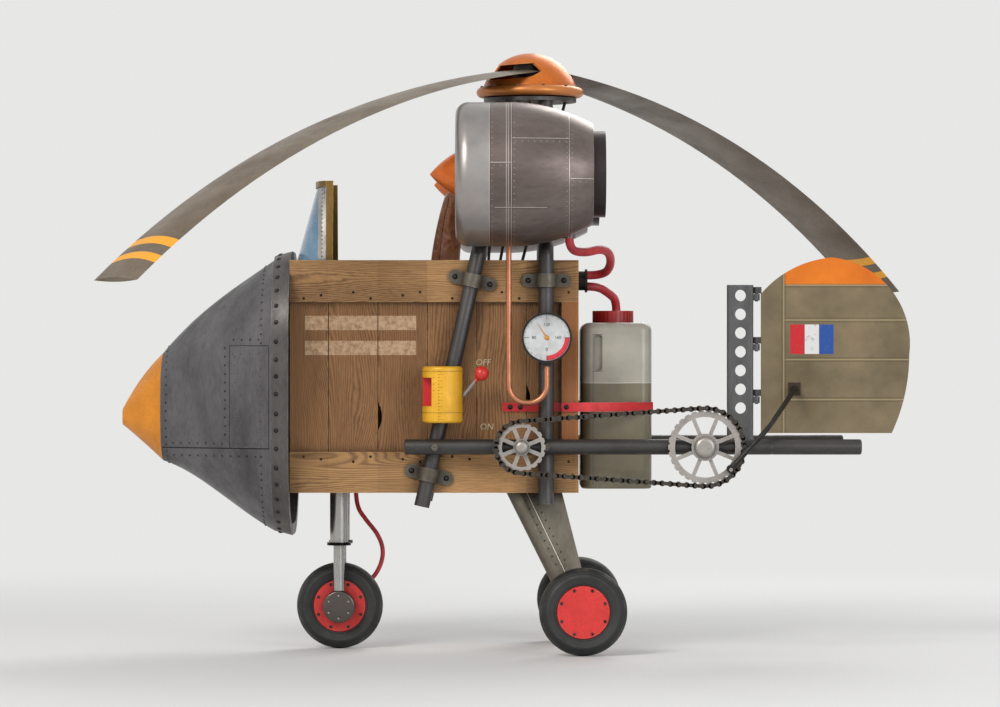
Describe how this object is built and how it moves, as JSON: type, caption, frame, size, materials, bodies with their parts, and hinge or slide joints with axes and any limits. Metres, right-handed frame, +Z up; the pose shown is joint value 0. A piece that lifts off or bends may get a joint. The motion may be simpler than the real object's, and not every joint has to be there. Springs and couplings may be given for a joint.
{
  "type": "kit helicopter",
  "caption": "Single-seat kit helicopter: planked crate body, riveted nose, twin engine pods on tube posts, drooping rotor under a dome, chain-driven rudder on booms.",
  "frame": {"origin": "on the ground on the centre line, midway between the nose tip and the rudder rear edge", "axes": "+X aft towards the rudder, +Y to the right side, +Z up along the rotor's axis"},
  "size_m": [3.2378, 3.0272, 2.378],
  "materials": {
    "plank_wood": "satin",
    "nose_steel": "satin",
    "orange_paint": "satin",
    "screen_glass": "gloss",
    "frame_brass": "satin",
    "seat_leather": "satin",
    "dark_steel": "satin",
    "clamp_iron": "satin",
    "pod_aluminium": "satin",
    "blade_paint": "satin",
    "tyre_rubber": "matte",
    "red_paint": "satin",
    "leg_steel": "satin",
    "rudder_cloth": "matte",
    "chain_steel": "satin",
    "sprocket_alloy": "satin",
    "black_paint": "satin",
    "tank_plastic": "satin",
    "red_plastic": "gloss",
    "yellow_paint": "satin",
    "copper": "satin",
    "red_rubber": "satin"
  },
  "bodies": {
    "frame": {"crate_side_left": "plank_wood", "crate_side_right": "plank_wood", "crate_front": "plank_wood", "crate_rear": "plank_wood", "crate_floor": "plank_wood", "crate_deck": "plank_wood", "nose_ring": "nose_steel", "nose_skin": "nose_steel", "nose_cap": "orange_paint", "windscreen": "screen_glass", "windscreen_frame": "frame_brass", "seat_back": "seat_leather", "seat_cushion": "seat_leather", "seat_pan": "plank_wood", "mast_posts_left": "dark_steel", "mast_posts_right": "dark_steel", "saddle_clamps_left": "clamp_iron", "saddle_clamps_right": "clamp_iron", "boom_left": "dark_steel", "boom_right": "dark_steel", "boom_cross_tube": "dark_steel", "engine_pod_left": "pod_aluminium", "engine_pod_right": "pod_aluminium", "head_plate": "dark_steel", "nose_leg_left": "leg_steel", "nose_leg_right": "leg_steel", "nose_axle": "dark_steel", "main_leg_left": "clamp_iron", "main_leg_right": "clamp_iron", "tail_post": "pod_aluminium", "chain": "chain_steel", "fuel_tank": "tank_plastic", "tank_cap": "red_plastic", "red_straps": "red_paint", "valve_body": "yellow_paint", "valve_lever": "red_plastic", "gauge": "black_paint", "copper_pipe": "copper", "control_rods": "black_paint", "hose_gland": "black_paint", "fuel_hose_upper": "red_rubber", "fuel_hose_lower": "red_rubber", "brake_hose": "red_rubber"},
    "rotor": {"rotor_head": "orange_paint", "rotor_blade_left": "blade_paint", "rotor_blade_right": "blade_paint"},
    "fan_left": {"fan_left": "orange_paint"},
    "fan_right": {"fan_right": "orange_paint"},
    "nose_wheel": {"nose_tyre": "tyre_rubber", "nose_rim": "red_paint"},
    "main_wheel_left": {"main_tyre_left": "tyre_rubber", "main_rim_left": "red_paint"},
    "main_wheel_right": {"main_tyre_right": "tyre_rubber", "main_rim_right": "red_paint"},
    "rudder": {"rudder": "rudder_cloth"},
    "sprocket_big": {"sprocket_big": "sprocket_alloy"},
    "sprocket_small": {"sprocket_small": "sprocket_alloy"},
    "push_rod": {"push_rod": "black_paint"}
  },
  "joints": [
    {"name": "rotor_spin", "type": "hinge", "parent": "frame", "child": "rotor", "pos_m": [0.00906, 0, 2.2], "axis": [0, 0, 1], "continuous": true},
    {"name": "fan_left_spin", "type": "hinge", "parent": "frame", "child": "fan_left", "pos_m": [-0.19094, -0.5, 1.872], "axis": [1, 0, 0], "continuous": true},
    {"name": "fan_right_spin", "type": "hinge", "parent": "frame", "child": "fan_right", "pos_m": [-0.19094, 0.5, 1.872], "axis": [1, 0, 0], "continuous": true},
    {"name": "nose_wheel_roll", "type": "hinge", "parent": "frame", "child": "nose_wheel", "pos_m": [-0.75094, 0, 0.172], "axis": [0, 1, 0], "continuous": true},
    {"name": "main_wheel_left_roll", "type": "hinge", "parent": "frame", "child": "main_wheel_left", "pos_m": [0.21306, -0.425, 0.172], "axis": [0, 1, 0], "continuous": true},
    {"name": "main_wheel_right_roll", "type": "hinge", "parent": "frame", "child": "main_wheel_right", "pos_m": [0.21306, 0.425, 0.172], "axis": [0, 1, 0], "continuous": true},
    {"name": "rudder_turn", "type": "hinge", "parent": "frame", "child": "rudder", "pos_m": [0.91506, 0, 0.98], "axis": [0, 0, 1], "range_deg": [-25, 25]},
    {"name": "big_sprocket_turn", "type": "hinge", "parent": "frame", "child": "sprocket_big", "pos_m": [0.68564, -0.4706, 0.814], "axis": [0, 1, 0], "range_deg": [-41, 41]},
    {"name": "small_sprocket_turn", "type": "hinge", "parent": "frame", "child": "sprocket_small", "pos_m": [-0.02694, -0.4706, 0.814], "axis": [0, 1, 0], "range_deg": [-61, 61]},
    {"name": "push_rod_swing", "type": "hinge", "parent": "sprocket_big", "child": "push_rod", "pos_m": [0.78225, -0.5046, 0.73002], "axis": [0.1149, -0.977, -0.1797], "range_deg": [-46, 46]}
  ],
  "couplings": [
    {"joint": "big_sprocket_turn", "follows": "rudder_turn", "ratio": -1.6112},
    {"joint": "small_sprocket_turn", "follows": "rudder_turn", "ratio": -2.4168},
    {"joint": "push_rod_swing", "follows": "rudder_turn", "ratio": -1.8257}
  ]
}
